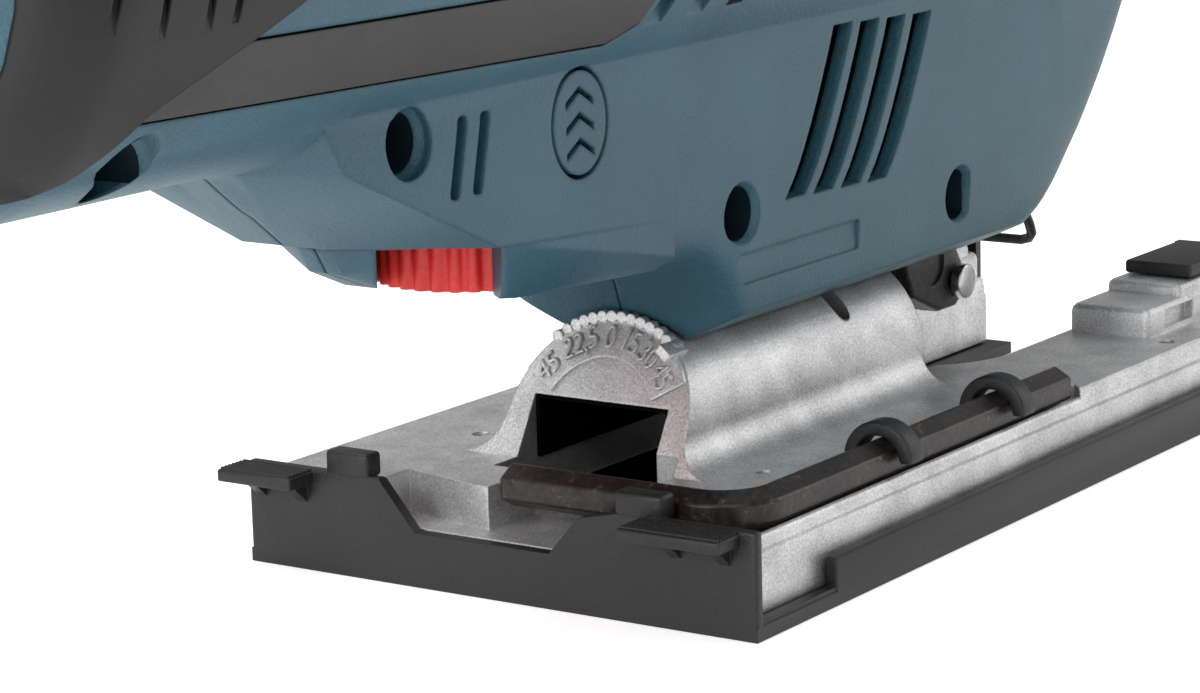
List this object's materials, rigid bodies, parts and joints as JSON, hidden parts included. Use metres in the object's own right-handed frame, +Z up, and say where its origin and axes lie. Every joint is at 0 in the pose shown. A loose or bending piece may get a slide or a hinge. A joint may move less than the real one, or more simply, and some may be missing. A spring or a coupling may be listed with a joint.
{
  "type": "jigsaw",
  "caption": "Barrel-grip electric jigsaw with a tilting fork base on a slide-on glide shoe, orbital blade roller, speed thumbwheel and a stored hex key.",
  "frame": {"origin": "on the glide shoe's flat underside, on the centre line, 60 mm ahead of the shoe's rear wall", "axes": "+X forward, the way the saw cuts; +Y to the operator's left; +Z up"},
  "size_m": [0.284, 0.0844, 0.15],
  "materials": {
    "housing": "fine moulded grain",
    "grip": "soft matt",
    "rubber": "soft matt",
    "cast": "die-cast, fine grain",
    "shoe": "matt",
    "key": "blackened and oiled",
    "steel": "ground",
    "dark_steel": "blackened",
    "copper": "turned",
    "carbon": "matt",
    "dial": "satin",
    "black_plastic": "satin",
    "brass": "turned"
  },
  "bodies": {
    "housing": {"housing_right": "housing", "housing_left": "housing", "rear_sleeve": "rubber", "grip_pad_right": "grip", "grip_pad_left": "grip", "cable_gland": "rubber", "stator_core": "dark_steel", "rear_bearing": "steel", "front_bearing": "steel", "brush_holder_right": "brass", "brush_holder_left": "brass", "carbon_brush_right": "carbon", "carbon_brush_left": "carbon", "gear_frame": "cast", "lower_bush": "brass", "upper_bush": "brass", "gear_axle": "steel", "orbit_pivot_pin": "steel", "power_switch": "black_plastic", "speed_module": "black_plastic", "wire_guard": "steel", "housing_screw_1": "dark_steel", "housing_screw_2": "dark_steel", "housing_screw_3": "dark_steel", "housing_screw_4": "dark_steel", "housing_screw_5": "dark_steel", "housing_screw_6": "dark_steel"},
    "armature": {"motor_shaft": "steel", "armature_core": "dark_steel", "commutator": "copper", "cooling_fan": "black_plastic"},
    "crank": {"crank_gear": "steel", "crank_pin": "steel"},
    "plunger": {"plunger_rod": "steel", "scotch_yoke": "steel", "blade_holder": "dark_steel"},
    "bracket": {"roller_bracket": "dark_steel", "roller_pin": "steel"},
    "roller": {"guide_roller": "steel"},
    "knob": {"orbital_knob": "black_plastic"},
    "dial": {"speed_dial": "dial"},
    "switch": {"switch_button": "dial"},
    "lever": {"blade_release_lever": "black_plastic"},
    "base": {"base_plate": "cast", "glide_shoe": "shoe", "clamp_plate": "steel", "key_clip_rear": "shoe", "key_clip_front": "shoe"},
    "clamp": {"base_clamp_screw": "steel"},
    "key": {"hex_key": "key"}
  },
  "joints": [
    {"name": "base_tilt", "type": "hinge", "parent": "housing", "child": "base", "pos_m": [0, 0, 0.0178], "axis": [1, 0, 0], "range_deg": [-45, 45]},
    {"name": "armature_spin", "type": "hinge", "parent": "housing", "child": "armature", "pos_m": [0, 0, 0.097], "axis": [1, 0, 0], "continuous": true},
    {"name": "crank_spin", "type": "hinge", "parent": "housing", "child": "crank", "pos_m": [0, 0, 0.077], "axis": [1, 0, 0], "continuous": true},
    {"name": "plunger_stroke", "type": "slide", "parent": "housing", "child": "plunger", "axis": [0, 0, 1], "range_m": [-0.02, 0]},
    {"name": "roller_swing", "type": "hinge", "parent": "housing", "child": "bracket", "pos_m": [0.0425, 0, 0.0405], "axis": [0, 1, 0], "range_deg": [0, 5]},
    {"name": "roller_spin", "type": "hinge", "parent": "bracket", "child": "roller", "pos_m": [0.0545, 0, 0.0235], "axis": [0, 1, 0], "continuous": true},
    {"name": "orbital_select", "type": "hinge", "parent": "housing", "child": "knob", "pos_m": [0.03, 0.02, 0.054], "axis": [0, 1, 0], "range_deg": [0, 90]},
    {"name": "speed_select", "type": "hinge", "parent": "housing", "child": "dial", "pos_m": [-0.062, 0, 0.048], "axis": [0, 0, 1], "range_deg": [0, 280]},
    {"name": "switch_slide", "type": "slide", "parent": "housing", "child": "switch", "axis": [1, 0, 0], "range_m": [0, 0.006]},
    {"name": "blade_release", "type": "hinge", "parent": "housing", "child": "lever", "pos_m": [0.1003, 0, 0.1115], "axis": [0, -1, 0], "range_deg": [0, 35], "stiffness_Nm_per_rad": 0.02, "springref_deg": -17.19},
    {"name": "clamp_turn", "type": "hinge", "parent": "base", "child": "clamp", "pos_m": [0.016, 0, 0.0052], "axis": [0, 0, 1], "range_deg": [0, 90]},
    {"name": "key_lift", "type": "hinge", "parent": "base", "child": "key", "pos_m": [-0.053, -0.0345, 0.014], "axis": [1, 0, 0], "range_deg": [0, 35]}
  ],
  "couplings": [
    {"joint": "crank_spin", "follows": "armature_spin", "ratio": -0.21951}
  ]
}
